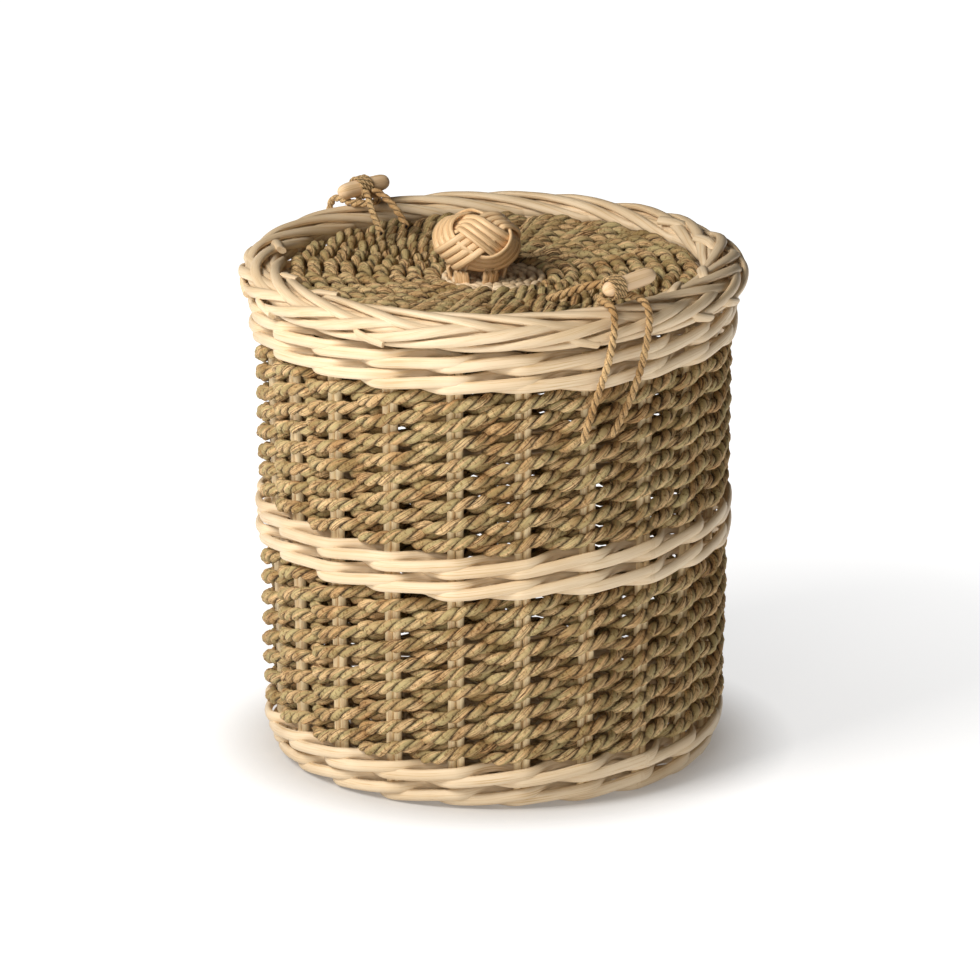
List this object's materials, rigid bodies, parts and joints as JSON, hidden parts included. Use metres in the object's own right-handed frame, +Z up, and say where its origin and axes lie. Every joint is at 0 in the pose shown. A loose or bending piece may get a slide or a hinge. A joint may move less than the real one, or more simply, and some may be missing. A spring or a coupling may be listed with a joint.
{
  "type": "lidded woven basket",
  "caption": "Round basket twined from grass rope on paired cane uprights, with cane bands, a loose woven lid, a knotted cane knob and toggle-and-loop fastenings.",
  "frame": {"origin": "centre of the foot on the surface the basket stands on", "axes": "+Z up along the basket's axis; the front toggle is on -Y and the rear toggle on +Y"},
  "size_m": [0.2638, 0.2739, 0.2878],
  "materials": {
    "seagrass_rope": "matte",
    "peeled_cane": "satin",
    "stake_cane": "satin",
    "knob_reed": "satin",
    "peg_wood": "satin",
    "tie_cord": "matte",
    "loop_cord": "matte"
  },
  "bodies": {
    "basket": {"base_sticks": "stake_cane", "base_weave": "peeled_cane", "foot_wale": "peeled_cane", "lower_weave_row_1": "seagrass_rope", "lower_weave_row_2": "seagrass_rope", "lower_weave_row_3": "seagrass_rope", "lower_weave_row_4": "seagrass_rope", "lower_weave_row_5": "seagrass_rope", "lower_weave_row_6": "seagrass_rope", "lower_weave_row_7": "seagrass_rope", "lower_weave_row_8": "seagrass_rope", "middle_wale": "peeled_cane", "rear_loop_lower": "loop_cord", "top_wale": "peeled_cane", "upper_weave_row_1": "seagrass_rope", "upper_weave_row_2": "seagrass_rope", "upper_weave_row_3": "seagrass_rope", "upper_weave_row_4": "seagrass_rope", "upper_weave_row_5": "seagrass_rope", "upper_weave_row_6": "seagrass_rope", "upper_weave_row_7": "seagrass_rope", "upper_weave_row_8": "seagrass_rope", "wall_stakes": "stake_cane"},
    "front_loop": {"front_loop": "loop_cord"},
    "rear_loop_top": {"rear_loop_upper": "loop_cord"},
    "lid": {"lid_border": "peeled_cane", "lid_centre_weave": "peeled_cane", "lid_row_1": "seagrass_rope", "lid_row_2": "seagrass_rope", "lid_row_3": "seagrass_rope", "lid_row_4": "seagrass_rope", "lid_row_5": "seagrass_rope", "lid_row_6": "seagrass_rope", "lid_row_7": "seagrass_rope", "lid_row_8": "seagrass_rope", "lid_row_9": "seagrass_rope", "lid_spokes": "stake_cane", "knob_knot": "knob_reed", "knob_legs": "knob_reed", "front_tie": "tie_cord", "rear_tie": "tie_cord"},
    "front_toggle": {"front_toggle": "peg_wood", "front_lashing": "tie_cord"},
    "rear_toggle": {"rear_toggle": "peg_wood", "rear_lashing": "tie_cord"}
  },
  "joints": [
    {"name": "lid_swing", "type": "hinge", "parent": "basket", "child": "rear_loop_top", "pos_m": [0, 0.1343, 0.247], "axis": [-1, 0, 0], "range_deg": [0, 105], "deforming": ["rear_loop_upper", "rear_loop_lower"]},
    {"name": "lid_lift", "type": "slide", "parent": "rear_loop_top", "child": "lid", "axis": [0, 0, 1], "range_m": [0, 0.12], "deforming": ["front_tie", "rear_tie"]},
    {"name": "front_loop_swing", "type": "hinge", "parent": "basket", "child": "front_loop", "pos_m": [-0.0255, -0.1244, 0.199], "axis": [0.9796, -0.2008, 0], "range_deg": [0, 130], "deforming": ["front_loop"]},
    {"name": "front_toggle_turn", "type": "hinge", "parent": "lid", "child": "front_toggle", "pos_m": [-0.0124, -0.121, 0.2773], "axis": [0, 0, 1], "range_deg": [-90, 90]},
    {"name": "rear_toggle_turn", "type": "hinge", "parent": "lid", "child": "rear_toggle", "pos_m": [-0.0005, 0.1175, 0.2751], "axis": [0, 0, 1], "range_deg": [-90, 90]}
  ],
  "couplings": [
    {"joint": "front_loop_swing", "follows": "lid_swing", "ratio": 1.238}
  ]
}
